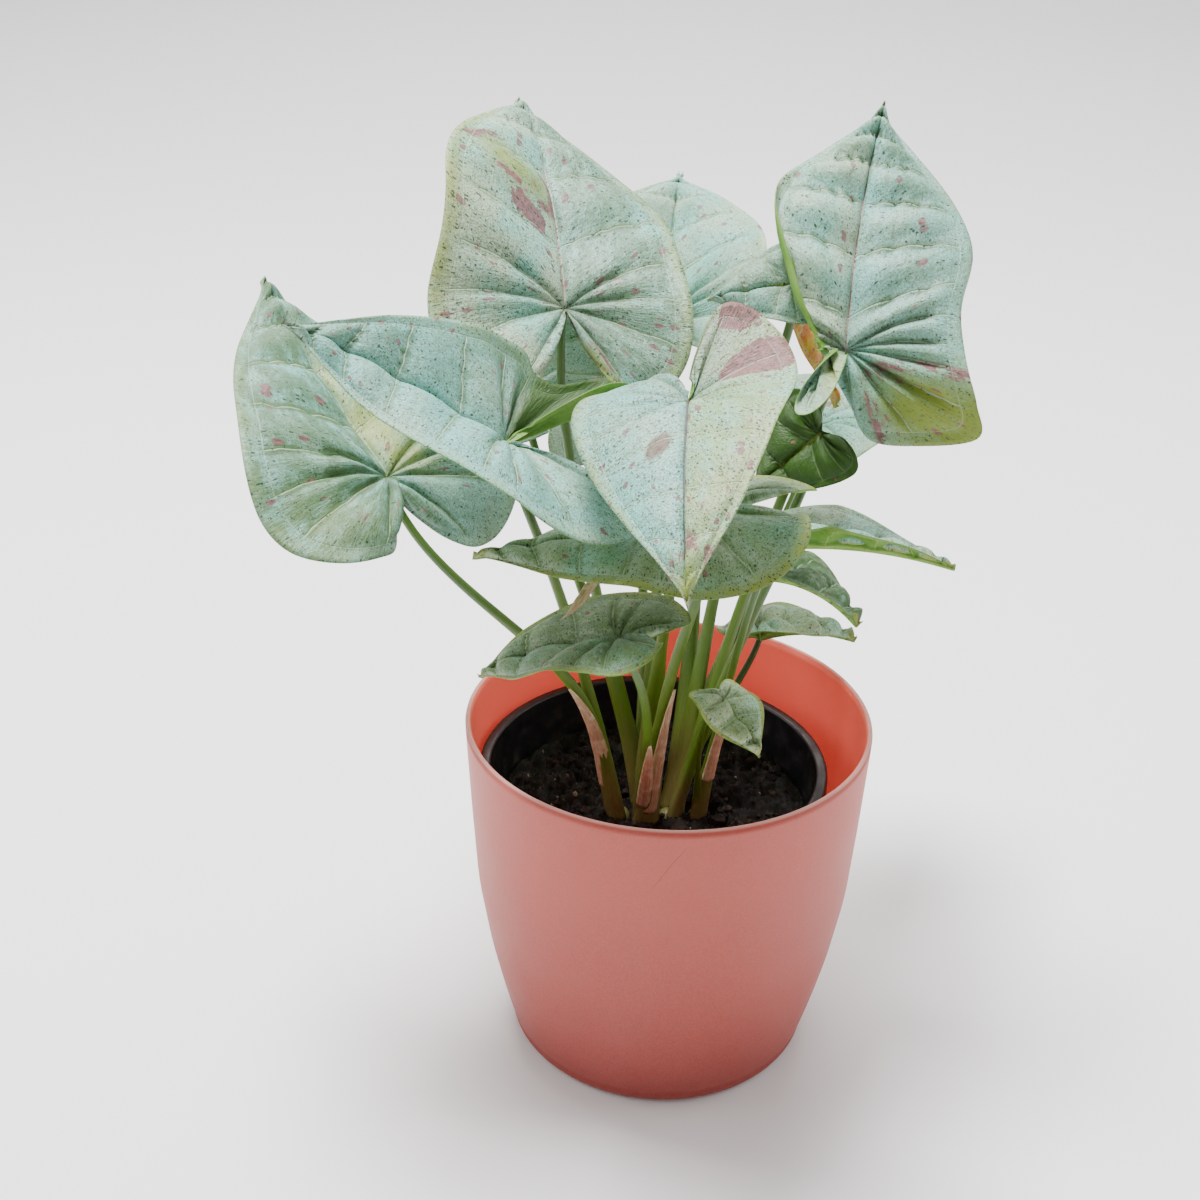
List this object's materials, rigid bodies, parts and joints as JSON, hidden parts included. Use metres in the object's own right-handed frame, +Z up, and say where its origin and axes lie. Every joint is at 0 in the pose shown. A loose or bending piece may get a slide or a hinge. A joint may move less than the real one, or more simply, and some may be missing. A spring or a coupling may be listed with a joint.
{
  "type": "potted arrowhead plant",
  "caption": "Potted arrowhead plant: pale variegated arrow-shaped leaves on long stalks, in a black nursery pot with soil, standing inside a round coral planter.",
  "frame": {"origin": "centre of the planter's underside, on the surface that it stands on", "axes": "+Z up, out of the soil; -Y towards the viewer of the picture, the side that the lowest large leaves lean to; +X to that viewer's right"},
  "size_m": [0.2539, 0.2748, 0.346],
  "materials": {
    "planter": "matte",
    "nursery_pot": "satin",
    "soil": "matte",
    "stem": "satin",
    "leaf": "satin",
    "dry_sheath": "matte"
  },
  "bodies": {
    "root": {"planter": "planter", "nursery_pot": "nursery_pot", "soil": "soil", "stem_left": "stem", "stem_front": "stem", "stem_right": "stem", "stem_back": "stem", "stem_sprout": "stem", "leaf_top_left": "leaf", "leaf_top_back": "leaf", "leaf_top_right": "leaf", "leaf_left": "leaf", "leaf_left_front": "leaf", "leaf_under": "leaf", "leaf_front": "leaf", "leaf_right_low": "leaf", "leaf_small_upper": "leaf", "leaf_small_lower": "leaf", "leaf_low_left": "leaf", "leaf_sprout": "leaf", "leaf_shaded": "leaf", "leaf_green_back": "leaf", "leaf_yellowing": "leaf", "leaf_back_left": "leaf", "leaf_back_right": "leaf", "leaf_back_middle": "leaf", "sheath_left": "dry_sheath", "sheath_front": "dry_sheath", "sheath_middle": "dry_sheath", "sheath_right": "dry_sheath"}
  },
  "joints": []
}
